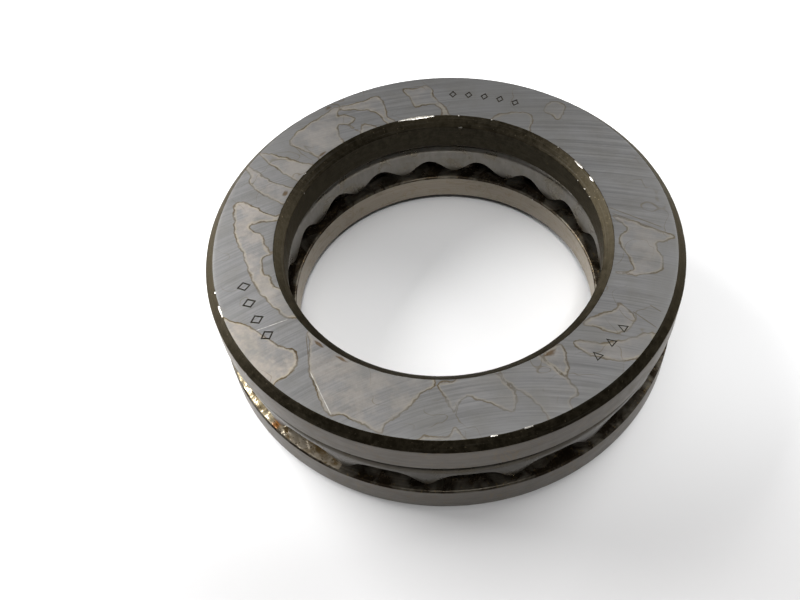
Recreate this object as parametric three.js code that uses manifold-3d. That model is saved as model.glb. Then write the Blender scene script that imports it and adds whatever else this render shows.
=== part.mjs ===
// Single-direction thrust ball bearing with flat washers, in millimetres, +Z up.
// The origin is at the centre of the lower back face and +Z is the bearing's axis.
// From the bottom up: shaft washer, balls in a pressed steel cage, housing washer.

import * as THREE from 'three';
import { mergeVertices } from 'three/addons/utils/BufferGeometryUtils.js';
import Module from 'manifold-3d';

// Boundary dimensions of the bearing
const boreDiameter = 40;
const outerDiameter = 60;
const bearingHeight = 16;

// Washers: the housing washer clears the shaft, and the shaft washer clears the housing
const washerThickness = 4.85;
const shaftClearance = 0.1;
const housingClearance = 0.1;
const backOuterChamfer = 1.05;
const backBoreChamfer = 1.15;
const raceChamfer = 0.2;
const washerSegments = 72;

// Balls and the grooves that they roll in
const ballCount = 18;
const ballDiameter = 7.144;
const pitchDiameter = 50.5;
const firstBallAngle = THREE.MathUtils.degToRad(14);
const grooveConformity = 0.54;
const runningClearance = 0.05;
const grooveArcPoints = 6;
const ballDetail = 2;

// Cage: sheet steel pressed to a channel that is open below, heights from the plane of the ball centres
const sheet = 0.5;
const bendRadius = 1;
const webTop = 2;
const pocketClearance = 0.15;
const pocketSides = 24;
const stepsPerPocket = 8;
const outerFlange = { radius: 29.5, inward: -1, archTop: 0.6, tabTip: -2.6, lean: 0.4, fullness: 2.1 };
const innerFlange = { radius: 21, inward: 1, archTop: -0.65, tabTip: -2.75, lean: 0.1, fullness: 1.1 };

const ballRadius = ballDiameter / 2;
const pitchRadius = pitchDiameter / 2;
const pocketAngle = (2 * Math.PI) / ballCount;

const groundSteel = new THREE.MeshStandardMaterial({ color: 0x8f8c88, roughness: 0.42, metalness: 0.9 });
const pressedSteel = new THREE.MeshStandardMaterial({ color: 0x75726b, roughness: 0.38, metalness: 0.9 });
const ballSteel = new THREE.MeshStandardMaterial({ color: 0xa3a3a5, roughness: 0.12, metalness: 1 });

const wasm = await Module();
wasm.setup();

// A closed three.js geometry as a solid that can be cut
function solidFrom(geometry) {
  const bare = geometry.clone();
  bare.deleteAttribute('normal');
  bare.deleteAttribute('uv');
  const merged = mergeVertices(bare);
  const mesh = new wasm.Mesh({
    numProp: 3,
    vertProperties: new Float32Array(merged.attributes.position.array),
    triVerts: new Uint32Array(merged.index.array),
  });
  return new wasm.Manifold(mesh);
}

function geometryFrom(solid) {
  const mesh = solid.getMesh();
  const geometry = new THREE.BufferGeometry();
  geometry.setAttribute('position', new THREE.BufferAttribute(mesh.vertProperties, 3));
  geometry.setIndex(new THREE.BufferAttribute(mesh.triVerts, 1));
  geometry.computeVertexNormals();
  return geometry;
}

// Points of an arc in the section plane, both ends included
function arcPoints(centreX, centreY, radius, fromAngle, toAngle, steps) {
  return Array.from({ length: steps + 1 }, (_, step) => {
    const angle = fromAngle + ((toAngle - fromAngle) * step) / steps;
    return new THREE.Vector2(centreX + radius * Math.cos(angle), centreY + radius * Math.sin(angle));
  });
}

// A section in radius and height, closed and turned about the bearing's axis
function turned(section, segments, startAngle) {
  const closed = [...section, section[0].clone()];
  const geometry = new THREE.LatheGeometry(closed, segments, startAngle + Math.PI / 2);
  return geometry.rotateX(Math.PI / 2);
}

// A washer lying on its back face, with its ball groove on top
function washerGeometry(innerRadius, outerRadius) {
  const grooveRadius = grooveConformity * ballDiameter;
  const ballCentreHeight = bearingHeight / 2;
  const grooveCentreHeight = ballCentreHeight - ballRadius - runningClearance + grooveRadius;
  const grooveHalfAngle = Math.acos((grooveCentreHeight - washerThickness) / grooveRadius);
  const groove = arcPoints(
    pitchRadius,
    grooveCentreHeight,
    grooveRadius,
    -Math.PI / 2 + grooveHalfAngle,
    -Math.PI / 2 - grooveHalfAngle,
    grooveArcPoints,
  );
  const section = [
    new THREE.Vector2(innerRadius + backBoreChamfer, 0),
    new THREE.Vector2(outerRadius - backOuterChamfer, 0),
    new THREE.Vector2(outerRadius, backOuterChamfer),
    new THREE.Vector2(outerRadius, washerThickness - raceChamfer),
    new THREE.Vector2(outerRadius - raceChamfer, washerThickness),
    ...groove,
    new THREE.Vector2(innerRadius + raceChamfer, washerThickness),
    new THREE.Vector2(innerRadius, washerThickness - raceChamfer),
    new THREE.Vector2(innerRadius, backBoreChamfer),
  ];
  return turned(section, washerSegments, 0);
}

function shaftWasher() {
  const washer = new THREE.Mesh(
    washerGeometry(boreDiameter / 2, outerDiameter / 2 - housingClearance),
    groundSteel,
  );
  washer.name = 'shaft_washer';
  return washer;
}

function housingWasher() {
  const washer = new THREE.Mesh(
    washerGeometry(boreDiameter / 2 + shaftClearance, outerDiameter / 2),
    groundSteel,
  );
  washer.name = 'housing_washer';
  washer.rotation.x = Math.PI;
  washer.position.z = bearingHeight;
  return washer;
}

// How far down its flange the scalloped edge is: 0 over a ball and 1 at the tip of a tab
function edgeDrop(flange, angle) {
  const pockets = (angle - firstBallAngle) / pocketAngle;
  const fromBall = 2 * Math.abs(pockets - Math.round(pockets));
  return (1 - Math.cos(Math.PI * fromBall ** flange.fullness)) / 2;
}

// The channel's section with both flanges at full depth, counterclockwise from the outer edge
function channelSection() {
  const bendHeight = webTop - bendRadius;
  const outerBend = outerFlange.radius - bendRadius;
  const innerBend = innerFlange.radius + bendRadius;
  const innerSideRadius = bendRadius - sheet;
  return [
    new THREE.Vector2(outerFlange.radius, outerFlange.tabTip),
    ...arcPoints(outerBend, bendHeight, bendRadius, 0, Math.PI / 2, 2),
    ...arcPoints(innerBend, bendHeight, bendRadius, Math.PI / 2, Math.PI, 2),
    new THREE.Vector2(innerFlange.radius, innerFlange.tabTip),
    new THREE.Vector2(innerFlange.radius + sheet, innerFlange.tabTip),
    ...arcPoints(innerBend, bendHeight, innerSideRadius, Math.PI, Math.PI / 2, 1),
    ...arcPoints(outerBend, bendHeight, innerSideRadius, Math.PI / 2, 0, 1),
    new THREE.Vector2(outerFlange.radius - sheet, outerFlange.tabTip),
  ];
}

// Raises the free edges over the balls and leans the tabs between them towards the balls
function scallopEdges(geometry) {
  const position = geometry.attributes.position;
  const point = new THREE.Vector3();
  for (let index = 0; index < position.count; index += 1) {
    point.fromBufferAttribute(position, index);
    const radius = Math.hypot(point.x, point.y);
    const flange = radius > pitchRadius ? outerFlange : innerFlange;
    if (point.z > flange.archTop) continue;
    const drop = edgeDrop(flange, Math.atan2(point.y, point.x));
    const leant = (radius + flange.inward * flange.lean * drop) / radius;
    const height = flange.archTop + (flange.tabTip - flange.archTop) * drop;
    position.setXYZ(index, point.x * leant, point.y * leant, height);
  }
  return geometry;
}

function ballPlace(index) {
  const angle = firstBallAngle + index * pocketAngle;
  return new THREE.Vector3(pitchRadius * Math.cos(angle), pitchRadius * Math.sin(angle), 0);
}

// Each pocket is a round hole in the web that follows the ball and is too small to let it through
function pocketCutter(index) {
  const radiusAt = (height) => Math.sqrt((ballRadius + pocketClearance) ** 2 - height ** 2);
  const depth = 3 * sheet;
  const middle = webTop - sheet / 2;
  const cutter = new THREE.CylinderGeometry(
    radiusAt(middle + depth / 2),
    radiusAt(middle - depth / 2),
    depth,
    pocketSides,
  );
  const place = ballPlace(index);
  return cutter.rotateX(Math.PI / 2).translate(place.x, place.y, middle);
}

function cage() {
  let solid = solidFrom(scallopEdges(turned(channelSection(), ballCount * stepsPerPocket, firstBallAngle)));
  for (let index = 0; index < ballCount; index += 1) {
    solid = solid.subtract(solidFrom(pocketCutter(index)));
  }
  const mesh = new THREE.Mesh(geometryFrom(solid), pressedSteel);
  mesh.name = 'ball_cage';
  return mesh;
}

function ball(index) {
  const mesh = new THREE.Mesh(new THREE.IcosahedronGeometry(ballRadius, ballDetail), ballSteel);
  mesh.name = `ball_${String(index + 1).padStart(2, '0')}`;
  mesh.position.copy(ballPlace(index));
  return mesh;
}

// The cage and its balls, which turn together midway between the washers
function rollingSet() {
  const group = new THREE.Group();
  group.position.z = bearingHeight / 2;
  group.add(cage());
  for (let index = 0; index < ballCount; index += 1) {
    group.add(ball(index));
  }
  return group;
}

const bearing = new THREE.Group();
bearing.add(shaftWasher(), rollingSet(), housingWasher());

export default bearing;
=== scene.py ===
"""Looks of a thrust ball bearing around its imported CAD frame. Lengths are in metres, angles in radians."""

import math
import random
from math import cos, pi, radians, sin

import bmesh
import bpy
import numpy as np
from mathutils import Matrix, Vector, noise


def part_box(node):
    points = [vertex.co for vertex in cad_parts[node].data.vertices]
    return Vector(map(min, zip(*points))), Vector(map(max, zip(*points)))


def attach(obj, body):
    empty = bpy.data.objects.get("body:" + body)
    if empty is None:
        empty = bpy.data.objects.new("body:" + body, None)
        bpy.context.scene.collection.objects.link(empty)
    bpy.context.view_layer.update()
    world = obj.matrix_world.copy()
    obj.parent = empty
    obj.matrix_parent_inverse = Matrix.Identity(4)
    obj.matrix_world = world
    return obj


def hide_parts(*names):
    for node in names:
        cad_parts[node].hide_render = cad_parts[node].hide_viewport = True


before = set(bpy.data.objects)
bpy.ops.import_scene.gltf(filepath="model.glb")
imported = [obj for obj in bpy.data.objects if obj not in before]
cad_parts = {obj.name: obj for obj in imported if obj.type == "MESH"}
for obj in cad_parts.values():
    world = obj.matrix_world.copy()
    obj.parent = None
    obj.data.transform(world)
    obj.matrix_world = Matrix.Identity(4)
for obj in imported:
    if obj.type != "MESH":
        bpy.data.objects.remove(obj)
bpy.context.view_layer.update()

MM = 0.001
FULL_TURN = 2 * pi


# ---------------------------------------------------------------- sizes, from the frame


def ring_size(node):
    """(inner radius, outer radius, lowest height, highest height) of a CAD ring on the bearing's axis."""
    distances = [math.hypot(v.co.x, v.co.y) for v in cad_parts[node].data.vertices]
    low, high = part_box(node)
    return min(distances), high.x, low.z, high.z


def centre_of(node):
    """The middle of a CAD node's box."""
    low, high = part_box(node)
    return (low + high) / 2


BALL_NODES = sorted(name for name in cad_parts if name.startswith("ball_") and name != "ball_cage")
BALL_CENTRES = {name: centre_of(name) for name in BALL_NODES}
FIRST_BALL = BALL_CENTRES[BALL_NODES[0]]
BALL_RADIUS = (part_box(BALL_NODES[0])[1].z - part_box(BALL_NODES[0])[0].z) / 2
PITCH_RADIUS = math.hypot(FIRST_BALL.x, FIRST_BALL.y)
MIDDLE_HEIGHT = FIRST_BALL.z
FIRST_ANGLE = math.atan2(FIRST_BALL.y, FIRST_BALL.x)
POCKET_ANGLE = FULL_TURN / len(BALL_NODES)

SHAFT_BORE, SHAFT_RIM, SHAFT_BACK, SHAFT_RACE = ring_size("shaft_washer")
HOUSING_BORE, HOUSING_RIM, HOUSING_RACE, HOUSING_BACK = ring_size("housing_washer")
CAGE_BORE, CAGE_RIM, CAGE_TIP, CAGE_TOP = ring_size("ball_cage")

# Washer edges and the ball groove
OUTER_CHAMFER = 1.05 * MM
BORE_CHAMFER = 1.15 * MM
RACE_CHAMFER = 0.2 * MM
GROOVE_CONFORMITY = 0.54
GROOVE_RADIUS = GROOVE_CONFORMITY * 2 * BALL_RADIUS
RUNNING_CLEARANCE = 0.05 * MM


# ---------------------------------------------------------------- mesh building

SHARP_ANGLE = radians(28)


def mesh_object(name, verts, faces, face_materials, materials, sharp_angle=SHARP_ANGLE):
    """A smooth-shaded mesh object whose faces meet sharply above sharp_angle."""
    mesh = bpy.data.meshes.new(name)
    mesh.from_pydata(verts, [], faces)
    for material in materials:
        mesh.materials.append(material)
    mesh.polygons.foreach_set("material_index", face_materials)
    mesh.polygons.foreach_set("use_smooth", [True] * len(faces))
    mesh.set_sharp_from_angle(angle=sharp_angle)
    mesh.update()
    piece = bpy.data.objects.new(name, mesh)
    bpy.context.scene.collection.objects.link(piece)
    return piece


def ring_mesh(name, section_at, segments, materials, sharp_angle=SHARP_ANGLE):
    """Sweeps a closed section round the axis. section_at(angle) lists (radius, height, material number)."""
    angles = [FULL_TURN * step / segments for step in range(segments)]
    sections = [section_at(angle) for angle in angles]
    verts, faces, face_materials = [], [], []
    for step, (angle, section) in enumerate(zip(angles, sections)):
        verts += [(r * cos(angle), r * sin(angle), z) for r, z, _ in section]
        count = len(section)
        here, there = step * count, (step + 1) % segments * count
        for point, (_, _, material) in enumerate(section):
            after = (point + 1) % count
            faces.append((here + point, there + point, there + after, here + after))
            face_materials.append(material)
    return mesh_object(name, verts, faces, face_materials, materials, sharp_angle)


def round_corner(before, corner, after, size, steps=4):
    """Points that round a corner off over the given length of each of its sides."""
    start = corner + (before - corner).normalized() * size
    end = corner + (after - corner).normalized() * size
    shares = [step / steps for step in range(steps + 1)]
    return [start * (1 - t) ** 2 + corner * 2 * t * (1 - t) + end * t * t for t in shares]


def arc(centre, radius, start, end, steps):
    """Points of an arc in the section plane, both ends included."""
    angles = [start + (end - start) * step / steps for step in range(steps + 1)]
    return [Vector((centre[0] + radius * cos(a), centre[1] + radius * sin(a))) for a in angles]


def cut(piece, cutters):
    """Takes the cutters out of the piece, and deletes them."""
    bpy.context.view_layer.objects.active = piece
    for cutter in cutters:
        modifier = piece.modifiers.new("cut", "BOOLEAN")
        modifier.solver = "EXACT"
        modifier.object = cutter
        bpy.ops.object.modifier_apply(modifier=modifier.name)
        bpy.data.objects.remove(cutter)


def joined(name, pieces):
    """Several mesh objects as one."""
    bpy.ops.object.select_all(action="DESELECT")
    for piece in pieces:
        piece.select_set(True)
    bpy.context.view_layer.objects.active = pieces[0]
    bpy.ops.object.join()
    pieces[0].name = name
    return pieces[0]


# ---------------------------------------------------------------- shader building


class Graph:
    """Short calls for a material's nodes. A value is a number, colour, vector or another node's socket."""

    def __init__(self, name):
        self.material = bpy.data.materials.new(name)
        self.material.use_nodes = True
        self.nodes = self.material.node_tree.nodes
        self.links = self.material.node_tree.links
        self.shader = self.nodes["Principled BSDF"]

    def feed(self, socket, value):
        if isinstance(value, bpy.types.NodeSocket):
            self.links.new(value, socket)
        elif isinstance(value, tuple) and len(value) == 3 and socket.type == "RGBA":
            socket.default_value = (*value, 1)
        else:
            socket.default_value = value

    def node(self, kind, values, **settings):
        made = self.nodes.new(kind)
        for setting, value in settings.items():
            setattr(made, setting, value)
        for socket, value in values.items():
            self.feed(made.inputs[socket], value)
        return made

    def math(self, operation, *values):
        return self.node("ShaderNodeMath", dict(enumerate(values)), operation=operation).outputs[0]

    def vector(self, operation, *values):
        made = self.node("ShaderNodeVectorMath", dict(enumerate(values)), operation=operation)
        return made.outputs["Value" if operation in ("LENGTH", "DOT_PRODUCT", "DISTANCE") else "Vector"]

    def combine(self, x, y, z):
        return self.node("ShaderNodeCombineXYZ", {0: x, 1: y, 2: z}).outputs[0]

    def place(self):
        """The point's place on the piece in millimetres, as a vector and as its x, y and z."""
        coordinates = self.node("ShaderNodeTexCoord", {}).outputs["Object"]
        point = self.node("ShaderNodeVectorMath", {0: coordinates, "Scale": 1 / MM}, operation="SCALE")
        split = self.node("ShaderNodeSeparateXYZ", {0: point.outputs["Vector"]})
        return point.outputs["Vector"], *split.outputs

    def stretched(self, point, scales):
        """The point with each axis scaled."""
        values = {"Vector": point, "Scale": scales}
        return self.node("ShaderNodeMapping", values, vector_type="POINT").outputs[0]

    def noise(self, point, scale, detail=3.0, roughness=0.5, distortion=0.0):
        values = {"Vector": point, "Scale": scale, "Detail": detail}
        values |= {"Roughness": roughness, "Distortion": distortion}
        return self.node("ShaderNodeTexNoise", values).outputs["Fac"]

    def between(self, value, low, high, to_low=0.0, to_high=1.0):
        """A smooth step from to_low at low to to_high at high."""
        values = {"Value": value, "From Min": low, "From Max": high, "To Min": to_low, "To Max": to_high}
        return self.node("ShaderNodeMapRange", values, interpolation_type="SMOOTHSTEP").outputs[0]

    def mix(self, share, first, second):
        made = self.node("ShaderNodeMix", {"Factor": share}, data_type="RGBA")
        colour_a, colour_b = 6, 7
        self.feed(made.inputs[colour_a], first)
        self.feed(made.inputs[colour_b], second)
        return made.outputs[2]

    def line(self, value, at, half_width):
        """1 where the value is at a level, and 0 from half_width away."""
        away = self.math("ABSOLUTE", self.math("SUBTRACT", value, at))
        return self.between(away, 0.0, half_width, 1.0, 0.0)

    def painted(self, name):
        """A value that the mesh holds for each of its vertices."""
        return self.node("ShaderNodeAttribute", {}, attribute_name=name).outputs["Fac"]

    def bump(self, height, depth, strength=1.0):
        """Tilts the surface by a height from 0 to 1 that stands for depth in metres."""
        values = {"Height": height, "Distance": depth, "Strength": strength}
        self.links.new(self.node("ShaderNodeBump", values).outputs[0], self.shader.inputs["Normal"])

    def finish(self, **values):
        """Sets the shader's own sockets and returns the material."""
        for socket, value in values.items():
            self.feed(self.shader.inputs[socket.replace("_", " ")], value)
        return self.material


def ring_distance(graph, x, y):
    """How far a point is from the bearing's axis."""
    return graph.vector("LENGTH", graph.combine(x, y, 0.0))


# ---------------------------------------------------------------- materials

FACE_MIDDLE = (HOUSING_BORE + BORE_CHAMFER + HOUSING_RIM - OUTER_CHAMFER) / 2
FACE_HALF_WIDTH = (HOUSING_RIM - OUTER_CHAMFER - HOUSING_BORE - BORE_CHAMFER) / 2

# The distance in mm given to places away from the top face, and how near its plane a vertex is on it
FAR = 9.0
FACE_DEPTH = 0.1 * MM

# Outlines of dried oil on the top face: how pale the oil is, and the outline as (azimuth in degrees,
# share of the way across the face: -1 at the bore and 1 at the rim)
OIL_STAINS = [
    (1.0, [(-157, 1.2), (-155, 0.8), (-151, 0.4), (-146.5, 0.2), (-141, 0.0), (-137, -0.22),
           (-134, -0.05), (-132.8, 0.35), (-133.2, 0.75), (-135.5, 1.2)]),
    (0.7, [(165.2, 0.62), (170, 0.53), (175, 0.37), (180, 0.18), (185, -0.05), (190, -0.15),
           (195, -0.25), (200, -0.36), (205, -0.53), (210, -0.68), (212.6, -0.8), (212.6, -1.2),
           (190, -1.3), (169.5, -1.2), (168.6, -0.8), (167, -0.3), (165.6, 0.1)]),
    (0.7, [(171.3, -1.2), (171.5, -0.6), (172.2, -0.22), (173.5, -0.1), (175, -0.2), (176, -0.46),
           (178, -0.64), (181, -0.72), (183.5, -0.82), (185, -0.9), (184, -1.2)]),
    (0.7, [(185.3, -1.2), (185.6, -0.8), (187, -0.62), (190, -0.58), (193, -0.66), (194.5, -0.8),
           (199, -0.83), (200, -1.2)]),
    (0.5, [(-137, -1.2), (-135, -0.7), (-130, -0.1), (-124, 0.4), (-118, 0.88), (-115.8, 0.72),
           (-112, 0.8), (-108, 0.84), (-105.2, 0.95), (-104.8, 0.6), (-101, 0.1), (-98, -0.45),
           (-93, -0.85), (-90, -1.2)]),
    (0.15, [(-98, 1.2), (-96, 0.88), (-92, 0.9), (-90, 0.8), (-89, 0.6), (-87.6, 0.85),
           (-86.5, 1.2)]),
    (0.12, [(-89, 0.1), (-87.5, -0.2), (-85, -0.38), (-82, -0.2), (-79, 0.0), (-76.5, 0.3),
           (-75, 0.38), (-73.8, 0.25), (-72.6, -0.1), (-74, -0.55), (-76.5, -1.2), (-94, -1.2),
           (-91, -0.4)]),
    (0.1, [(-75.3, -1.2), (-74, -0.7), (-72, -0.32), (-70.3, -0.05), (-69, 0.3), (-68.3, 0.7),
           (-67.8, 1.2), (-63, 1.2), (-62.2, 0.8), (-61, 0.68), (-59, 0.66), (-58.8, 0.1),
           (-60, -0.6), (-61.5, -1.2)]),
    (0.4, [(-58.6, 0.0), (-56, -0.25), (-54.2, -0.6), (-53, -0.9), (-56, -1.0), (-60, -0.95),
           (-59.6, -0.4)]),
    (0.35, [(-50.1, -0.6), (-49.6, -0.15), (-47.5, 0.3), (-45.5, 0.65), (-43, 0.95), (-38, 1.1),
           (-34.5, 0.95), (-37, 0.6), (-40, 0.35), (-43.5, 0.0), (-46, -0.35), (-48.5, -0.68)]),
    (0.3, [(-42.5, -0.92), (-41, -0.5), (-39.6, 0.0), (-36, 0.25), (-32.5, 0.25), (-31.2, -0.1),
           (-30.4, -0.42), (-32, -0.36), (-34.5, -0.55), (-38, -0.8)]),
    (0.35, [(-19.9, -0.95), (-18.6, -0.5), (-16.5, -0.36), (-13, -0.5), (-10, -0.7), (-6.3, -0.87),
           (-4, -0.75), (-1.8, -0.6), (1, -0.68), (4.2, -0.9), (0.5, -0.2), (-2.5, 0.4),
           (-4.5, 0.88), (-5.8, 0.6), (-7, 0.3), (-9.5, 0.35), (-12, 0.5), (-15.5, 0.52),
           (-17, 0.25), (-18.7, -0.2)]),
    (0.15, [(49.5, 0.05), (52, 0.12), (54.8, 0.18), (55.4, 0.4), (54.8, 0.75), (51.5, 0.8),
           (49.8, 0.5)]),
    (0.1, [(54.6, -1.2), (55.2, -0.7), (56.5, -0.36), (59, -0.22), (62, -0.33), (65, -0.5),
           (68, -0.75), (69, -1.2)]),
    (0.35, [(86, -0.8), (88, -0.4), (90.6, 0.0), (91.4, 0.45), (93.2, 0.62), (97, 0.52),
           (99.9, 0.6), (98.6, 0.2), (97.9, -0.1), (97.2, -0.44), (94, -0.4), (91, -0.42),
           (89, -0.56), (88, -0.85), (87.4, -1.2), (84, -1.2)]),
    (0.5, [(108.2, -1.2), (107.5, -0.6), (106.9, -0.1), (107.6, 0.52), (112, 0.5), (117, 0.55),
           (121, 0.72), (125, 0.62), (131, 0.6), (136, 0.55), (139.4, 0.4), (139, -0.2),
           (138.2, -0.9), (138.2, -1.2)]),
    (0.5, [(108.8, -1.2), (109.3, -0.7), (110.6, -0.3), (113, 0.0), (116, 0.2), (120, 0.5),
           (121.6, 0.32), (119, 0.05), (117.6, -0.22), (120.6, -0.36), (119.3, -0.88),
           (117.6, -0.68), (115.5, -0.68), (113.6, -0.9), (113, -1.2)]),
    (0.5, [(119.5, -1.2), (119.7, -0.75), (121, -0.4), (123, -0.18), (124.7, -0.25), (126, -0.6),
           (126.8, -1.2)]),
    (0.5, [(141.5, -1.2), (143, -0.75), (144.4, -0.1), (145.5, 0.5), (146.6, 0.95), (147.4, 0.95),
           (148.5, 0.5), (149.6, 0.05), (150.4, -0.45), (151.2, -0.9), (150.5, -1.2)]),
    (0.4, [(152.3, 1.0), (153.2, 0.6), (154.1, 0.25), (154.9, -0.15), (155.3, -0.6), (154.8, -1.2),
           (162.8, -1.2), (162, -0.7), (160.5, -0.1), (159, 0.3), (157.2, 0.58), (155, 0.68),
           (153.6, 1.0)]),
]

# Brown spots: (azimuth, share across, half length and half width in mm)
BROWN_SPOTS = [
    (-57.3, -0.86, 1.1, 0.35),
    (158.2, -0.84, 0.8, 0.4),
    (-161.5, -0.83, 1.2, 0.22),
    (-133.0, -0.88, 1.0, 0.25),
    (-124.2, -0.9, 1.1, 0.25),
    (122.5, 0.84, 0.9, 0.3),
    (136.2, -0.9, 0.8, 0.25),
]

# Straight lines on the top face: (azimuth and share across of one end, then of the other)
BRIGHT_SCRATCHES = [
    ((-129.5, -0.05), (-117.3, 0.88)),
    ((-149.0, 0.3), (-147.2, -0.75)),
]
DULL_SCRATCHES = [
    ((-139.0, -0.86), (-127.5, 0.15)),
    ((5.8, -0.98), (-4.2, 0.9)),
    ((8.4, -1.0), (-1.6, 0.6)),
    ((-32.8, 0.95), (-31.0, 0.05)),
    ((-28.1, 0.85), (-27.3, 0.45)),
]


def on_face(azimuth, across):
    """A place on the top face in mm, from its azimuth in degrees and -1 at the bore to 1 at the rim."""
    radius = (FACE_MIDDLE + across * FACE_HALF_WIDTH) / MM
    return Vector((radius * cos(radians(azimuth)), radius * sin(radians(azimuth)), 0))


def smooth_loop(corners, steps=6):
    """A closed curve through the corners (Catmull-Rom), as an array of x and y."""
    curve = []
    count = len(corners)
    for number in range(count):
        a, b, c, d = (corners[(number + shift) % count] for shift in (-1, 0, 1, 2))
        for step in range(steps):
            t = step / steps
            slope = (c - a) * t
            bend = (a * 2 - b * 5 + c * 4 - d) * t**2
            twist = (b * 3 - a - c * 3 + d) * t**3
            curve.append(b + slope / 2 + bend / 2 + twist / 2)
    return np.array([(point.x, point.y) for point in curve])


def outside_loop(places, loop):
    """Distance of each place outside a closed curve, negative inside it."""
    starts, ends = loop, np.roll(loop, -1, axis=0)
    sides = ends - starts
    from_start = places[:, None, :] - starts[None, :, :]
    share = np.clip((from_start * sides).sum(2) / (sides**2).sum(1), 0, 1)
    distance = np.linalg.norm(from_start - share[:, :, None] * sides, axis=2).min(axis=1)
    above = starts[:, 1] > places[:, 1:2]
    crosses = above != (ends[:, 1] > places[:, 1:2])
    slope = np.where(sides[:, 1] == 0, 1, sides[:, 1])
    reach = starts[:, 0] + (places[:, 1:2] - starts[:, 1]) * sides[:, 0] / slope
    inside = (crosses & (places[:, 0:1] < reach)).sum(axis=1) % 2
    return np.where(inside, -distance, distance)


def paint_stains(piece, stains, spots):
    """Gives each vertex its distance in mm outside the stains, their paleness, and how brown its spot is."""
    verts = piece.data.vertices
    spot = np.empty(len(verts) * 3)
    verts.foreach_get("co", spot)
    spot = spot.reshape(-1, 3)
    on_back = np.abs(spot[:, 2] - HOUSING_BACK) < FACE_DEPTH
    places = spot[on_back, :2] / MM
    side, nearest, pale = np.ones(len(places)), np.full(len(places), FAR), np.zeros(len(places))
    for paleness, outline in stains:
        distance = outside_loop(places, smooth_loop([on_face(*corner) for corner in outline]))
        side *= np.sign(distance)
        nearest = np.minimum(nearest, np.abs(distance))
        pale = np.maximum(pale, paleness * np.clip(1 - distance, 0, 1))
    brown = np.zeros(len(places))
    for azimuth, across, half_length, half_width in spots:
        centre = on_face(azimuth, across)
        outward = np.array(centre.normalized())[:2]
        offset = places - np.array(centre)[:2]
        along = offset @ np.array((-outward[1], outward[0])) / half_length
        away = offset @ outward / half_width
        brown = np.maximum(brown, np.exp(-(along**2) - away**2))
    layers = [("stain_edge", side * nearest, FAR), ("stain_pale", pale, 0), ("brown_spot", brown, 0)]
    for name, values, elsewhere in layers:
        painted = np.full(len(verts), float(elsewhere))
        painted[on_back] = values
        piece.data.attributes.new(name, "FLOAT", "POINT").data.foreach_set("value", painted)


def scratch_mask(graph, flat, scratch, half_width):
    """1 on a straight scratch and 0 away from it."""
    start, end = (on_face(*place) for place in scratch)
    middle, along = (start + end) / 2, end - start
    values = {
        "Vector": flat,
        "Location": middle,
        "Rotation": (0, 0, math.atan2(along.y, along.x)),
        "Scale": (along.length / 2, 1, 1),
    }
    local = graph.node("ShaderNodeMapping", values, vector_type="TEXTURE").outputs[0]
    parts = graph.node("ShaderNodeSeparateXYZ", {0: local}).outputs
    beside = graph.between(graph.math("ABSOLUTE", parts[1]), 0.0, half_width, 1.0, 0.0)
    within = graph.between(graph.math("ABSOLUTE", parts[0]), 0.85, 1.0, 1.0, 0.0)
    return graph.math("MULTIPLY", beside, within)


def highest(graph, values):
    """The greatest of several values."""
    result = values[0]
    for value in values[1:]:
        result = graph.math("MAXIMUM", result, value)
    return result


def grinding_lines(graph, x, y, centre=(8.0, -62.0), along=3.0, across=5.0):
    """Fine arcs that a grinding disc leaves, from a centre in mm beside the ring."""
    offset = graph.combine(graph.math("SUBTRACT", x, centre[0]), graph.math("SUBTRACT", y, centre[1]), 0.0)
    distance = graph.vector("LENGTH", offset)
    direction = graph.vector("NORMALIZE", offset)
    parts = graph.node("ShaderNodeSeparateXYZ", {0: direction}).outputs
    outward = graph.math("MULTIPLY", distance, across)
    sideways = graph.math("MULTIPLY", parts[0], along)
    return graph.noise(graph.combine(outward, sideways, 0.0), 1.0, detail=5.0, roughness=0.65)


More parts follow.
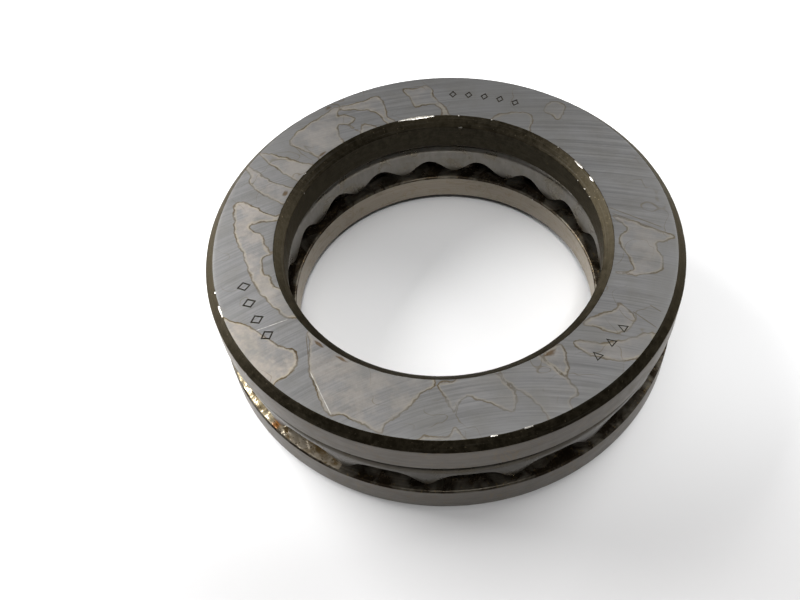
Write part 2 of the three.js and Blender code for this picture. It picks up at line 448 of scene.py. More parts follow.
def ground_face_steel():
    """The top face: grey ground steel with grinding arcs, dried oil stains, scratches and brown spots."""
    graph = Graph("ground_face_steel")
    _, x, y, _ = graph.place()
    flat = graph.combine(x, y, 0.0)
    jag = graph.math("MULTIPLY", graph.math("SUBTRACT", graph.noise(flat, 0.9, 4.0), 0.5), 0.9)
    edge = graph.math("ADD", graph.painted("stain_edge"), jag)
    inside = graph.between(edge, -0.12, 0.12, 1.0, 0.0)
    uneven = graph.between(graph.noise(flat, 0.34, 5.0, 0.65), 0.38, 0.6, 0.2, 1.0)
    pale = graph.math("MULTIPLY", graph.painted("stain_pale"), graph.math("MULTIPLY", inside, uneven))
    strength = graph.between(graph.noise(flat, 0.3, 3.0), 0.35, 0.65, 0.25, 0.8)
    strength = graph.math("ADD", strength, graph.math("MULTIPLY", graph.painted("stain_pale"), 0.4))
    outline = graph.math("MULTIPLY", graph.line(edge, 0.02, 0.17), strength)
    rim = graph.math("MULTIPLY", graph.line(edge, -0.2, 0.15), strength)

    dull = highest(graph, [scratch_mask(graph, flat, scratch, 0.09) for scratch in DULL_SCRATCHES])
    cracks = graph.line(graph.noise(flat, 0.16, 2.0, 0.4, 0.5), 0.5, 0.006)
    patches = graph.between(graph.noise(flat, 0.13, 2.0), 0.5, 0.6)
    faint = graph.math("MULTIPLY", cracks, graph.math("MULTIPLY", patches, 0.5))
    brown = highest(graph, [outline, faint, graph.math("MULTIPLY", dull, 0.75)])

    arcs = grinding_lines(graph, x, y)
    cloud = graph.noise(flat, 0.22, 4.0, 0.6)
    mottle = graph.noise(flat, 1.7, 5.0, 0.7)
    steel = graph.mix(graph.between(arcs, 0.3, 0.7), (0.165, 0.164, 0.163), (0.21, 0.209, 0.207))
    steel = graph.mix(graph.between(cloud, 0.35, 0.7, 0.0, 0.4), steel, (0.15, 0.144, 0.128))
    beige = graph.mix(graph.between(mottle, 0.35, 0.65), (0.35, 0.305, 0.255), (0.29, 0.262, 0.222))
    steel = graph.mix(graph.math("MULTIPLY", pale, 0.62), steel, beige)
    steel = graph.mix(graph.math("MULTIPLY", rim, 0.3), steel, (0.36, 0.3, 0.18))
    tint = graph.mix(graph.noise(flat, 0.5, 2.0), (0.06, 0.042, 0.015), (0.16, 0.11, 0.045))
    steel = graph.mix(graph.math("MULTIPLY", brown, 0.85), steel, tint)

    spots = graph.between(graph.math("ADD", graph.painted("brown_spot"), jag), 0.35, 0.8)
    steel = graph.mix(graph.math("MULTIPLY", spots, 0.8), steel, (0.085, 0.048, 0.016))

    scratches = highest(graph, [scratch_mask(graph, flat, scratch, 0.075) for scratch in BRIGHT_SCRATCHES])
    worn = graph.between(graph.noise(flat, 1.6, 3.0), 0.35, 0.6, 0.25, 0.85)
    scratches = graph.math("MULTIPLY", scratches, worn)
    steel = graph.mix(graph.math("MULTIPLY", scratches, 0.6), steel, (0.75, 0.73, 0.68))

    rough = graph.between(arcs, 0.25, 0.75, 0.34, 0.46)
    rough = graph.math("ADD", rough, graph.math("MULTIPLY", pale, 0.08))
    rough = graph.math("SUBTRACT", rough, graph.math("MULTIPLY", brown, 0.06))
    relief = graph.math("SUBTRACT", graph.math("MULTIPLY", arcs, 0.8), scratches)
    graph.bump(relief, 0.006 * MM, 0.7)
    return graph.finish(Base_Color=steel, Roughness=rough, Metallic=0.9)


def ground_rim_steel(name, dark, light):
    """A cylindrically ground rim or bore: fine lines round the ring, streaks and a few stains."""
    graph = Graph(name)
    point, *_ = graph.place()
    lines = graph.noise(graph.stretched(point, (0.06, 0.06, 9.0)), 1.0, 5.0, 0.7)
    streaks = graph.noise(graph.stretched(point, (0.5, 0.5, 0.9)), 1.0, 4.0, 0.6, 0.4)
    steel = graph.mix(graph.between(lines, 0.3, 0.7), dark, light)
    steel = graph.mix(graph.between(streaks, 0.55, 0.75, 0.0, 0.4), steel, (0.17, 0.14, 0.1))
    stain = graph.line(graph.noise(point, 0.32, 2.0, 0.5, 1.2), 0.56, 0.02)
    steel = graph.mix(graph.math("MULTIPLY", stain, 0.3), steel, (0.2, 0.14, 0.07))
    rough = graph.between(streaks, 0.3, 0.7, 0.36, 0.46)
    graph.bump(lines, 0.006 * MM, 0.6)
    round_the_ring = graph.node("ShaderNodeTangent", {}, direction_type="RADIAL", axis="Z").outputs[0]
    graph.finish(Anisotropic=0.75, Anisotropic_Rotation=0.25, Tangent=round_the_ring)
    return graph.finish(Base_Color=steel, Roughness=rough, Metallic=0.95)


def unground_steel(name, dark, light):
    """Chamfers and the housing washer's bore as the lathe and the furnace left them: dark scale, oily."""
    graph = Graph(name)
    point, *_ = graph.place()
    turning = graph.noise(graph.stretched(point, (0.1, 0.1, 6.0)), 1.0, 4.0, 0.65)
    scale = graph.noise(point, 1.1, 6.0, 0.7, 0.3)
    pits = graph.between(graph.noise(point, 3.4, 3.0, 0.6), 0.62, 0.75)
    steel = graph.mix(graph.between(scale, 0.35, 0.7), dark, light)
    steel = graph.mix(graph.between(turning, 0.5, 0.75, 0.0, 0.5), steel, (0.05, 0.045, 0.036))
    steel = graph.mix(graph.math("MULTIPLY", pits, 0.6), steel, (0.1, 0.08, 0.05))
    rough = graph.between(scale, 0.3, 0.7, 0.42, 0.58)
    graph.bump(graph.math("ADD", scale, graph.math("MULTIPLY", turning, 0.6)), 0.03 * MM, 0.7)
    warm = (0.6, 0.57, 0.52, 1)
    return graph.finish(Base_Color=steel, Roughness=rough, Metallic=0.9, Specular_Tint=warm)


def burnished_steel():
    """Edges that handling has worn down to bright metal."""
    graph = Graph("burnished_steel")
    point, *_ = graph.place()
    dents = graph.noise(point, 2.2, 4.0, 0.6)
    steel = graph.mix(graph.between(dents, 0.35, 0.65), (0.2, 0.185, 0.16), (0.5, 0.48, 0.44))
    rough = graph.between(dents, 0.3, 0.7, 0.34, 0.22)
    graph.bump(dents, 0.02 * MM, 0.6)
    return graph.finish(Base_Color=steel, Roughness=rough, Metallic=0.95)


def oily_race_steel():
    """The side that faces the balls: ground shoulders under brown oil, and a groove with a bright track.
    Steel and oil are kept very dark, partly as painted shade for the shade between the washers.
    """
    graph = Graph("oily_race_steel")
    point, x, y, _ = graph.place()
    radius = ring_distance(graph, x, y)
    fine = graph.combine(graph.math("MULTIPLY", radius, 7.0), graph.math("MULTIPLY", x, 0.05), 0.0)
    lines = graph.noise(fine, 1.0, 4.0)
    oil = graph.between(graph.noise(point, 0.35, 5.0, 0.6, 0.6), 0.34, 0.6)
    flecks = graph.between(graph.noise(point, 2.6, 3.0), 0.6, 0.7)
    # Partly painted shade: the ground steel and the oil are kept far darker than bare steel, as the race
    # side lies in shade between the washers
    steel = graph.mix(graph.between(lines, 0.3, 0.7), (0.085, 0.075, 0.058), (0.13, 0.118, 0.095))
    steel = graph.mix(graph.math("MULTIPLY", oil, 0.9), steel, (0.022, 0.013, 0.005))
    steel = graph.mix(graph.math("MULTIPLY", flecks, 0.45), steel, (0.2, 0.14, 0.06))
    track = graph.line(radius, PITCH_RADIUS / MM, 0.75)
    steel = graph.mix(graph.math("MULTIPLY", track, 0.6), steel, (0.3, 0.29, 0.27))
    rough = graph.between(oil, 0.0, 1.0, 0.42, 0.26)
    graph.bump(graph.math("ADD", lines, oil), 0.01 * MM, 0.6)
    return graph.finish(Base_Color=steel, Roughness=rough, Metallic=0.85)


def cage_steel():
    """Pressed sheet steel: drawn streaks down the flanges, a warm oil film and dull wear, with painted shade
    that turns the web's flat top nearly black under the upper washer, and a darker outer flange.
    """
    graph = Graph("cage_steel")
    point, x, y, z = graph.place()
    radius = ring_distance(graph, x, y)
    # The outer flange is darkened, and the web's flat top, just under the upper washer, is darkened as
    # painted shade
    outside = graph.between(radius, PITCH_RADIUS / MM + 2, CAGE_RIM / MM, 0.0, 0.78)
    web = graph.between(z, CAGE_TOP / MM - 0.06, CAGE_TOP / MM - 0.01, 0.0, 0.8)
    drawn = graph.noise(graph.stretched(point, (1.3, 1.3, 0.4)), 1.0, 5.0, 0.6)
    film = graph.noise(point, 0.4, 4.0, 0.6, 0.5)
    specks = graph.between(graph.noise(point, 2.8, 3.0, 0.6), 0.64, 0.74)
    steel = graph.mix(graph.between(drawn, 0.3, 0.7), (0.185, 0.174, 0.155), (0.225, 0.212, 0.19))
    steel = graph.mix(graph.between(film, 0.42, 0.68, 0.0, 0.55), steel, (0.15, 0.125, 0.08))
    steel = graph.mix(graph.math("MULTIPLY", specks, 0.45), steel, (0.12, 0.09, 0.04))
    # Both go nearly black: the web's top as painted shade, the outer flange as a darker tone
    steel = graph.mix(graph.math("MAXIMUM", outside, web), steel, (0.03, 0.025, 0.018))
    rough = graph.between(film, 0.35, 0.65, 0.36, 0.26)
    graph.bump(graph.math("ADD", drawn, graph.noise(point, 1.2, 3.0)), 0.02 * MM, 0.6)
    return graph.finish(Base_Color=steel, Roughness=rough, Metallic=0.95)


def ball_steel():
    """Lapped bearing steel: mirror polished but darker than bare steel, partly for a coat of oil and partly
    as painted shade for the balls' place inside the cage, with a satin running band and smears of oil.
    """
    graph = Graph("ball_steel")
    point, x, *_ = graph.place()
    smear = graph.between(graph.noise(point, 0.5, 4.0, 0.6, 0.8), 0.45, 0.62)
    lapping = graph.noise(graph.stretched(point, (14.0, 1.5, 1.5)), 1.0, 3.0, 0.6)
    band = graph.line(x, 0.0, 0.5)
    # Partly painted shade: the base colour is kept well below bare steel, as the balls sit in shade inside
    # the cage; the brown smears are oil
    steel = graph.mix(graph.math("MULTIPLY", smear, 0.8), (0.3, 0.29, 0.28), (0.05, 0.032, 0.014))
    steel = graph.mix(graph.math("MULTIPLY", band, 0.35), steel, (0.26, 0.255, 0.25))
    polish = graph.between(lapping, 0.3, 0.7, 0.05, 0.09)
    rough = graph.math("ADD", polish, graph.math("MULTIPLY", band, 0.08))
    graph.bump(lapping, 0.002 * MM, 0.4)
    return graph.finish(Base_Color=steel, Roughness=rough, Metallic=1.0)


def amber_grease():
    """Old oil that has gathered on the shoulder: amber, wet and full of grit, and pale gold at its start as
    a painted highlight.
    """
    graph = Graph("amber_grease")
    point, x, y, _ = graph.place()
    depth = graph.noise(point, 0.9, 4.0, 0.6, 0.6)
    grit = graph.between(graph.noise(point, 3.2, 3.0, 0.6), 0.6, 0.68)
    angle = graph.math("ARCTAN2", y, x)
    # Painted highlight: the film's start is pale gold where the wet grease would shine, fading to greyish
    # brown past -132 degrees
    painted_highlight_fade = graph.between(angle, radians(-146), radians(-132))
    colour = graph.mix(painted_highlight_fade, (0.62, 0.52, 0.32), (0.3, 0.26, 0.2))
    colour = graph.mix(graph.between(depth, 0.4, 0.7), colour, (0.12, 0.075, 0.025))
    amber = graph.line(angle, radians(-137), radians(1.6))
    colour = graph.mix(graph.math("MULTIPLY", amber, 0.8), colour, (0.42, 0.15, 0.02))
    colour = graph.mix(grit, colour, (0.05, 0.03, 0.012))
    graph.bump(depth, 0.15 * MM, 0.8)
    graph.finish(Coat_Weight=0.6, Coat_Roughness=0.05)
    return graph.finish(Base_Color=colour, Roughness=0.14, Metallic=0.45)


def stamped_steel():
    """The floor of a stamped mark: dark with old dirt."""
    graph = Graph("stamped_steel")
    point, *_ = graph.place()
    dirt = graph.noise(point, 2.0, 4.0, 0.6)
    colour = graph.mix(dirt, (0.02, 0.018, 0.014), (0.07, 0.06, 0.045))
    graph.bump(dirt, 0.02 * MM, 0.6)
    return graph.finish(Base_Color=colour, Roughness=0.55, Metallic=0.5)


def floor_paint():
    """Pale paper, with painted shade that makes it greyer towards the front."""
    graph = Graph("pale_floor")
    point, _, y, _ = graph.place()
    cloud = graph.noise(point, 0.01, 3.0, 0.5)
    paper = graph.mix(cloud, (0.86, 0.86, 0.865), (0.9, 0.9, 0.9))
    # Painted shade: the paper's colour turns grey towards the front of the floor
    shaded = graph.between(y, -44, -8, 1.0, 0.0)
    colour = graph.mix(shaded, paper, (0.58, 0.575, 0.575))
    return graph.finish(Base_Color=colour, Roughness=0.6)


# ---------------------------------------------------------------- washers

# Numbers of a washer's materials
FACE, RIM, UNGROUND, RACE, STAMPED, BORE, SCALED_BORE, BURNISHED = range(8)

# A washer's eight edges are numbered from the back of the rim, round by the race side, to the bore's back
EDGE_COUNT = 8
BACK_RIM_EDGE = 0
BACK_BORE_EDGE = 7
INNER_EDGES_FROM = 4

WASHER_SEGMENTS = 720
GROOVE_STEPS = 24
FACE_ROWS = 20
NICKS_PER_EDGE = 9

# How far a new edge is rounded, and how far before bare metal shows
NEW_EDGE = 0.035 * MM
BARE_EDGE = 0.09 * MM

# Worn places on the housing washer's back: (edge, angle, how much wider than new, half width)
WORN_PLACES = [
    (BACK_BORE_EDGE, radians(97), 5.0, radians(5)),
    (BACK_BORE_EDGE, radians(30), 3.5, radians(2)),
    (BACK_BORE_EDGE, radians(22), 3.0, radians(1.2)),
    (BACK_RIM_EDGE, radians(-159), 3.5, radians(2.5)),
    (BACK_RIM_EDGE, radians(-81), 3.0, radians(1.5)),
    (BACK_RIM_EDGE, radians(-73), 3.0, radians(2)),
]


def wear_at(angle, seed, nicks):
    """How much wider than new an edge is worn at an angle: slow ripples, and a few nicks."""
    place = Vector((cos(angle), sin(angle), seed))
    ripple = 0.5 + noise.noise(place * 3.0)
    ripple += 0.7 * noise.noise(place * 11.0)
    ripple += 0.5 * noise.noise(place * 40.0)
    dents = 0.0
    for where, size, width in nicks:
        away = (angle - where + pi) % FULL_TURN - pi
        dents += size * math.exp(-((away / width) ** 2))
    return max(0.0, ripple) + dents


def random_nicks(seed, count):
    """Small nicks at random places on an edge: the angle, size and half width of each."""
    draw = random.Random(seed)
    ranges = [(0, FULL_TURN), (0.5, 2.4), (0.004, 0.012)]
    return [[draw.uniform(*limits) for limits in ranges] for _ in range(count)]


def washer(name, bore, rim, back, race, bore_material, seed, worn_places=()):
    """A washer with a ball groove on its race side and wide chamfers on its back."""
    up = 1 if race > back else -1
    thickness = abs(race - back)
    groove_height = abs(MIDDLE_HEIGHT - back) - BALL_RADIUS - RUNNING_CLEARANCE + GROOVE_RADIUS
    half_angle = math.acos((groove_height - thickness) / GROOVE_RADIUS)
    groove_ends = (-pi / 2 + half_angle, -pi / 2 - half_angle)
    groove = arc((PITCH_RADIUS, groove_height), GROOVE_RADIUS, *groove_ends, GROOVE_STEPS)
    nicks = {edge: random_nicks(seed + edge, NICKS_PER_EDGE) for edge in range(EDGE_COUNT)}
    for edge, *nick in worn_places:
        nicks[edge].append(nick)

    # Each corner: radius, height above the back, how readily it wears, material of its rounding, material
    # of the face after it
    outer_corners = [
        (rim - OUTER_CHAMFER, 0, 0.6, UNGROUND, UNGROUND),
        (rim, OUTER_CHAMFER, 1.0, RIM, RIM),
        (rim, thickness - RACE_CHAMFER, 0.6, RACE, RACE),
        (rim - RACE_CHAMFER, thickness, 0.6, RACE, RACE),
    ]
    inner_corners = [
        (bore + RACE_CHAMFER, thickness, 0.6, RACE, RACE),
        (bore, thickness - RACE_CHAMFER, 0.6, RACE, bore_material),
        (bore, BORE_CHAMFER, 0.8, UNGROUND, UNGROUND),
        (bore + BORE_CHAMFER, 0, 1.0, UNGROUND, FACE),
    ]

    def rounded_corners(corners, before, after, angle, first_edge):
        """The corners rounded by their wear at that angle."""
        places = [before, *(Vector(corner[:2]) for corner in corners), after]
        points = []
        for number, (_, _, wears, rounding, material) in enumerate(corners):
            edge = first_edge + number
            size = NEW_EDGE * (1 + wears * wear_at(angle, seed + edge, nicks[edge]))
            turn = round_corner(places[number], places[number + 1], places[number + 2], size)
            bare = BURNISHED if size > BARE_EDGE else rounding
            points += [(*point, bare) for point in turn[:-1]]
            points.append((*turn[-1], material))
        return points

    def section_at(angle):
        """The washer's whole section at that angle, right way up."""
        first = Vector(outer_corners[0][:2])
        last = Vector(inner_corners[-1][:2])
        outer = rounded_corners(outer_corners, last, groove[0], angle, BACK_RIM_EDGE)
        inner = rounded_corners(inner_corners, groove[-1], first, angle, INNER_EDGES_FROM)
        to_rim = outer[0][0] - inner[-1][0]
        back_face = [(inner[-1][0] + to_rim * row / FACE_ROWS, 0, FACE) for row in range(1, FACE_ROWS)]
        section = outer + [(*point, RACE) for point in groove] + inner + back_face
        if up > 0:
            return [(r, back + z, material) for r, z, material in section]
        flipped = [(r, back - z) for r, z, _ in section][::-1]
        numbers = [material for _, _, material in section][::-1]
        return [(*point, number) for point, number in zip(flipped, numbers[1:] + numbers[:1])]

    kinds = "ground_face ground_rim unground race stamped ground_bore scaled_bore burnished".split()
    return ring_mesh(name, section_at, WASHER_SEGMENTS, [STEEL[kind] for kind in kinds])


# ---------------------------------------------------------------- stamped marks

MARK_DEPTH = 0.12 * MM
MARK_STROKE = 0.24 * MM
MARK_WIDTH_SHARE = 0.8


def hollow_outline(name, corners, width, height, azimuth, across):
    """A cutter for a hollow stamped outline with that many corners, standing upright seen from the axis."""
    centre = on_face(azimuth, across) * MM
    turn = Matrix.Rotation(radians(azimuth) + pi / 2, 3, "Z")
    shrink = MARK_STROKE / min(width, height) * 2
    made = bmesh.new()
    loops = []
    for level in (HOUSING_BACK - MARK_DEPTH, HOUSING_BACK + MARK_DEPTH):
        for size in (1.0, 1.0 - shrink):
            loop = []
            for corner in range(corners):
                angle = FULL_TURN * corner / corners + pi / 2
                local = Vector((width / 2 * cos(angle) * size, height / 2 * sin(angle) * size, 0))
                place = turn @ local + centre
                loop.append(made.verts.new((place.x, place.y, level)))
            loops.append(loop)
    low_outer, low_inner, high_outer, high_inner = loops
    around = [low_outer, high_outer, high_inner, low_inner]
    for first, second in zip(around, around[1:] + around[:1]):
        for corner in range(corners):
            after = (corner + 1) % corners
            made.faces.new((first[corner], first[after], second[after], second[corner]))
    bmesh.ops.recalc_face_normals(made, faces=made.faces)
    mesh = bpy.data.meshes.new(name)
    made.to_mesh(mesh)
    made.free()
    mesh.materials.append(STEEL["stamped"])
    cutter = bpy.data.objects.new(name, mesh)
    bpy.context.scene.collection.objects.link(cutter)
    return cutter


def stamped_marks():
    """Three groups of plain outlines on the top face: corners, count, azimuth, step, size, share across."""
    groups = [
        (4, 4, -146.0, -6.1, 1.8 * MM, 0.08),
        (3, 3, -37.0, -5.6, 1.6 * MM, 0.1),
        (4, 5, 84.5, -5.0, 1.4 * MM, 0.1),
    ]
    cutters = []
    for corners, count, start, step, size, across in groups:
        for number in range(count):
            name = f"mark_{len(cutters)}"
            azimuth = start + number * step
            cutters.append(hollow_outline(name, corners, size * MARK_WIDTH_SHARE, size, azimuth, across))
    return joined("marks", cutters)


# ---------------------------------------------------------------- cage

SHEET = 0.5 * MM
BEND = 1.0 * MM
POCKET_CLEARANCE = 0.15 * MM
STEPS_PER_POCKET = 36
BEND_STEPS = 8
LINING_STEPS = 6
CAGE_SHARP_ANGLE = radians(40)

# Flanges: heights of the arches and tab tips from the plane of the ball centres, how far the tabs lean
# towards the balls, and how full the arches are: the fuller they are, the narrower the tabs
OUTER_FLANGE = {
    "radius": CAGE_RIM,
    "inward": -1,
    "arch": 0.6 * MM,
    "tip": -2.6 * MM,
    "lean": 0.4 * MM,
    "fullness": 2.1,
}
INNER_FLANGE = {
    "radius": CAGE_BORE,
    "inward": 1,
    "arch": -0.65 * MM,
    "tip": -2.75 * MM,
    "lean": 0.1 * MM,
    "fullness": 1.1,
}


def edge_drop(flange, angle):
    """How far down its flange the scalloped edge is: 0 over a ball and 1 at the tip of a tab."""
    pockets = (angle - FIRST_ANGLE) / POCKET_ANGLE
    from_ball = 2 * abs(pockets - round(pockets))
    return (1 - cos(pi * from_ball ** flange["fullness"])) / 2


def flange_points(flange, angle, inset, steps=12):
    """One skin of a flange from its free edge up to the bend. inset is the depth below the outer skin."""
    drop = edge_drop(flange, angle)
    edge = flange["arch"] + (flange["tip"] - flange["arch"]) * drop
    top = CAGE_TOP - MIDDLE_HEIGHT - BEND
    points = []
    for step in range(steps):
        share = step / steps
        height = edge + (top - edge) * share
        lean = flange["lean"] * drop * (1 - share) ** 2
        points.append(Vector((flange["radius"] + flange["inward"] * (inset + lean), height)))
    return points


def cage_section(angle):
    """Both skins of the channel, counterclockwise from the outer flange's free edge."""
    bend_height = CAGE_TOP - MIDDLE_HEIGHT - BEND
    outer_bend, inner_bend = CAGE_RIM - BEND, CAGE_BORE + BEND
    inside = BEND - SHEET
    web = [0.25, 0.5, 0.75]
    skin = flange_points(OUTER_FLANGE, angle, 0)
    skin += arc((outer_bend, bend_height), BEND, 0, pi / 2, BEND_STEPS)
    skin += [Vector((outer_bend + (inner_bend - outer_bend) * share, bend_height + BEND)) for share in web]
    skin += arc((inner_bend, bend_height), BEND, pi / 2, pi, BEND_STEPS)
    skin += flange_points(INNER_FLANGE, angle, 0)[::-1]
    lining = flange_points(INNER_FLANGE, angle, SHEET)
    lining += arc((inner_bend, bend_height), inside, pi, pi / 2, LINING_STEPS)
    width = outer_bend - inner_bend
    lining += [Vector((inner_bend + width * share, bend_height + inside)) for share in web]
    lining += arc((outer_bend, bend_height), inside, pi / 2, 0, LINING_STEPS)
    lining += flange_points(OUTER_FLANGE, angle, SHEET)[::-1]
    return [(point.x, point.y + MIDDLE_HEIGHT, 0) for point in skin + lining]


def pocket_cutter(centre):
    """A sphere a little larger than the ball that it makes room for."""
    made = bmesh.new()
    bmesh.ops.create_uvsphere(made, u_segments=48, v_segments=32, radius=BALL_RADIUS + POCKET_CLEARANCE)
    bmesh.ops.translate(made, verts=made.verts, vec=centre)
    mesh = bpy.data.meshes.new("pocket")
    made.to_mesh(mesh)
    made.free()
    cutter = bpy.data.objects.new("pocket", mesh)
    bpy.context.scene.collection.objects.link(cutter)
    return cutter


def ball_cage():
    """The pressed cage, with a round pocket for each ball."""
    segments = STEPS_PER_POCKET * len(BALL_NODES)
    cage = ring_mesh("pressed_ball_cage", cage_section, segments, [STEEL["cage"]], CAGE_SHARP_ANGLE)
    cut(cage, [joined("pockets", [pocket_cutter(centre) for centre in BALL_CENTRES.values()])])
    cage.data.set_sharp_from_angle(angle=CAGE_SHARP_ANGLE)
    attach(cage, "ball_cage")
    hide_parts("ball_cage")


# ---------------------------------------------------------------- balls

BAND_HALF_WIDTH = 0.5 * MM
BAND_DEPTH = 0.006 * MM


def polished_ball(node):
    """A ball whose own x axis is the line that it rolls about, with the band that running has worn."""
    made = bmesh.new()
    bmesh.ops.create_icosphere(made, subdivisions=5, radius=BALL_RADIUS)
    for vert in made.verts:
        worn = math.exp(-((vert.co.x / BAND_HALF_WIDTH) ** 2)) * BAND_DEPTH
        vert.co -= vert.co.normalized() * worn
    mesh = bpy.data.meshes.new(f"polished_{node}")
    made.to_mesh(mesh)
    made.free()
    mesh.materials.append(STEEL["ball"])
    mesh.polygons.foreach_set("use_smooth", [True] * len(mesh.polygons))
    ball = bpy.data.objects.new(f"polished_{node}", mesh)
    bpy.context.scene.collection.objects.link(ball)
    centre = BALL_CENTRES[node]
    ball.location = centre
    ball.rotation_euler.z = math.atan2(centre.y, centre.x)
    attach(ball, node)
    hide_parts(node)


# ---------------------------------------------------------------- grease

GREASE_START = radians(-157)
GREASE_END = radians(-117)
GREASE_DEPTH = 0.3 * MM
GREASE_SUNK = 0.01 * MM


def grease_film():
    """A wet film on the shaft washer's shoulder, thin at its borders and sunk slightly into the steel."""
    inner, outer = PITCH_RADIUS + 2.0 * MM, SHAFT_RIM - RACE_CHAMFER
    columns, rows = 240, 24
    verts = []
    for side in (0, 1):
        for column in range(columns + 1):
            along = column / columns
            angle = GREASE_START + (GREASE_END - GREASE_START) * along
            for row in range(rows + 1):
                across = row / rows
                radius = inner + (outer - inner) * across
                place = Vector((radius * cos(angle), radius * sin(angle), 0)) / MM
                border = (sin(pi * along) * sin(pi * across)) ** 0.5
                lumps = 0.55 + 0.8 * noise.noise(place * 0.55) + 0.35 * noise.noise(place * 1.9)
                depth = GREASE_DEPTH * border * min(1.0, max(0.05, lumps))
                height = SHAFT_RACE - GREASE_SUNK if side == 0 else SHAFT_RACE - GREASE_SUNK / 2 + depth
                verts.append((place.x * MM, place.y * MM, height))
    stride = rows + 1
    layer = stride * (columns + 1)
    faces = []
    for column in range(columns):
        for row in range(rows):
            corner = column * stride + row
            quad = (corner, corner + 1, corner + stride + 1, corner + stride)
            faces.append(tuple(layer + index for index in quad[::-1]))
            faces.append(quad)
    border = [column * stride for column in range(columns)]
    border += [columns * stride + row for row in range(rows)]
    border += [column * stride + rows for column in range(columns, 0, -1)]
    border += [row for row in range(rows, 0, -1)]
    for number, here in enumerate(border):
        there = border[(number + 1) % len(border)]
        faces.append((here, there, layer + there, layer + here))
    film = mesh_object("grease_film", verts, faces, [0] * len(faces), [STEEL["grease"]], radians(60))
    tidy = bmesh.new()
    tidy.from_mesh(film.data)
    bmesh.ops.recalc_face_normals(tidy, faces=tidy.faces)
    tidy.to_mesh(film.data)
    tidy.free()
    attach(film, "shaft_washer")


# ---------------------------------------------------------------- floor, lights and camera


def floor_and_lights():
    """A wide plain floor just under the bearing, and four lamps."""
    bpy.ops.mesh.primitive_plane_add(size=4, location=(0, 0, -0.02 * MM))
    floor = bpy.context.object
    floor.name = "floor"
    floor.data.materials.append(floor_paint())

    area_light("left_window", azimuth=148, elevation=24, distance=0.4, size=0.31, power=3.8)
    area_light("right_window", azimuth=38, elevation=24, distance=0.9, size=0.6, power=7.5)
    area_light("overhead", azimuth=90, elevation=84, distance=0.9, size=0.4, power=1.2)
    area_light("front_lamp", azimuth=-82, elevation=64, distance=0.9, size=0.12, power=2.6)


def studio_room(brightest=(-0.4, 0.75, 0.5), dark=0.08, light=0.38):
    """A grey room that is lightest towards one direction, back left, and dark behind the camera."""
    world = bpy.data.worlds.new("studio")
    bpy.context.scene.world = world
    world.use_nodes = True
    nodes, links = world.node_tree.nodes, world.node_tree.links
    direction = nodes.new("ShaderNodeTexCoord")
    towards = nodes.new("ShaderNodeVectorMath")
    towards.operation = "DOT_PRODUCT"
    towards.inputs[1].default_value = Vector(brightest).normalized()
    links.new(direction.outputs["Generated"], towards.inputs[0])
    strength = nodes.new("ShaderNodeMapRange")
    strength.interpolation_type = "SMOOTHSTEP"
    strength.inputs["From Min"].default_value = -0.7
    strength.inputs["From Max"].default_value = 1.0
    strength.inputs["To Min"].default_value = dark
    strength.inputs["To Max"].default_value = light
    links.new(towards.outputs["Value"], strength.inputs["Value"])
    links.new(strength.outputs[0], nodes["Background"].inputs["Strength"])
    nodes["Background"].inputs["Color"].default_value = (1, 1, 1, 1)


def area_light(name, azimuth, elevation, distance, size, power):
    """A square light that looks at the bearing's middle from that direction, in degrees."""
    flat = cos(radians(elevation))
    direction = Vector((flat * cos(radians(azimuth)), flat * sin(radians(azimuth)), sin(radians(elevation))))
    data = bpy.data.lights.new(name, "AREA")
    data.size = size
    data.energy = power
    light = bpy.data.objects.new(name, data)
    bpy.context.scene.collection.objects.link(light)
    light.location = Vector((0, 0, MIDDLE_HEIGHT)) + direction * distance
    light.rotation_euler = (-direction).to_track_quat("-Z", "Y").to_euler()


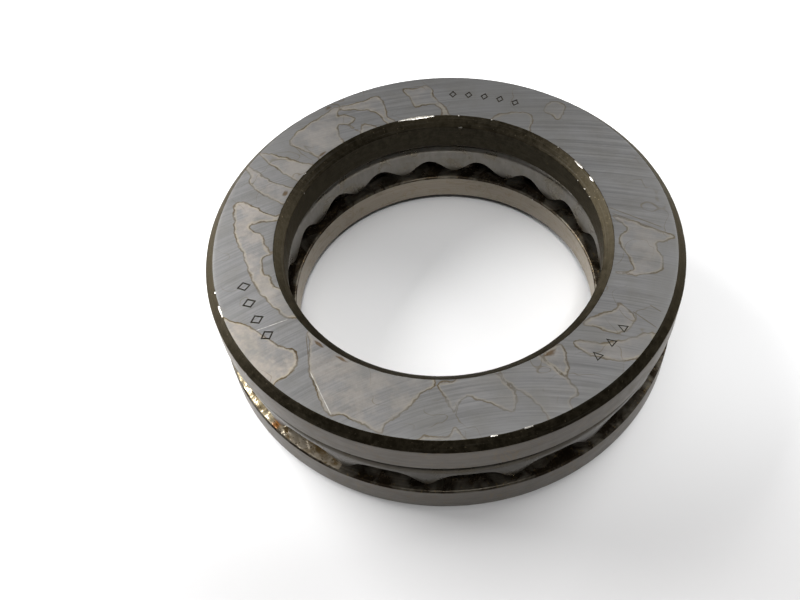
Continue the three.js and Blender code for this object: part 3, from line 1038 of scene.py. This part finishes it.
def photo_camera():
    """Looks down on the top face from the front, slightly rolled, aimed left and short of its middle."""
    distance, elevation, roll = 120.62 * MM, radians(50.18), radians(-6.25)
    data = bpy.data.cameras.new("camera")
    data.lens = 43.17
    data.sensor_width = 36
    data.clip_start = 0.005
    camera = bpy.data.objects.new("camera", data)
    bpy.context.scene.collection.objects.link(camera)
    camera.location = (0, -distance * cos(elevation), HOUSING_BACK + distance * sin(elevation))
    aim = Vector((-5.34 * MM, -9.96 * MM, HOUSING_BACK))
    look = (aim - camera.location).to_track_quat("-Z", "Y").to_matrix()
    camera.rotation_euler = (look @ Matrix.Rotation(roll, 3, "Z")).to_euler()
    bpy.context.scene.camera = camera


# ---------------------------------------------------------------- the bearing

STEEL = {
    "ground_face": ground_face_steel(),
    "ground_rim": ground_rim_steel("ground_rim_steel", (0.118, 0.108, 0.095), (0.165, 0.153, 0.137)),
    "ground_bore": ground_rim_steel("ground_bore_steel", (0.26, 0.228, 0.185), (0.34, 0.3, 0.245)),
    "unground": unground_steel("unground_steel", (0.0115, 0.009, 0.0045), (0.028, 0.023, 0.0145)),
    "scaled_bore": unground_steel("scaled_bore_steel", (0.022, 0.0185, 0.012), (0.046, 0.04, 0.028)),
    "race": oily_race_steel(),
    "burnished": burnished_steel(),
    "cage": cage_steel(),
    "ball": ball_steel(),
    "grease": amber_grease(),
    "stamped": stamped_steel(),
}


def washers():
    """Both washers: the upper one with its stamped marks and stains, the lower one plain."""
    housing_sizes = (HOUSING_BORE, HOUSING_RIM, HOUSING_BACK, HOUSING_RACE)
    housing = washer("housing_washer_steel", *housing_sizes, SCALED_BORE, 1, WORN_PLACES)
    cut(housing, [stamped_marks()])
    housing.data.set_sharp_from_angle(angle=SHARP_ANGLE)
    paint_stains(housing, OIL_STAINS, BROWN_SPOTS)
    shaft = washer("shaft_washer_steel", SHAFT_BORE, SHAFT_RIM, SHAFT_BACK, SHAFT_RACE, BORE, 40)
    paint_stains(shaft, [], [])
    for piece, node in ((housing, "housing_washer"), (shaft, "shaft_washer")):
        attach(piece, node)
        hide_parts(node)


washers()
ball_cage()
for ball_node in BALL_NODES:
    polished_ball(ball_node)
grease_film()
floor_and_lights()
studio_room()
photo_camera()
bpy.context.scene.view_settings.view_transform = "Standard"
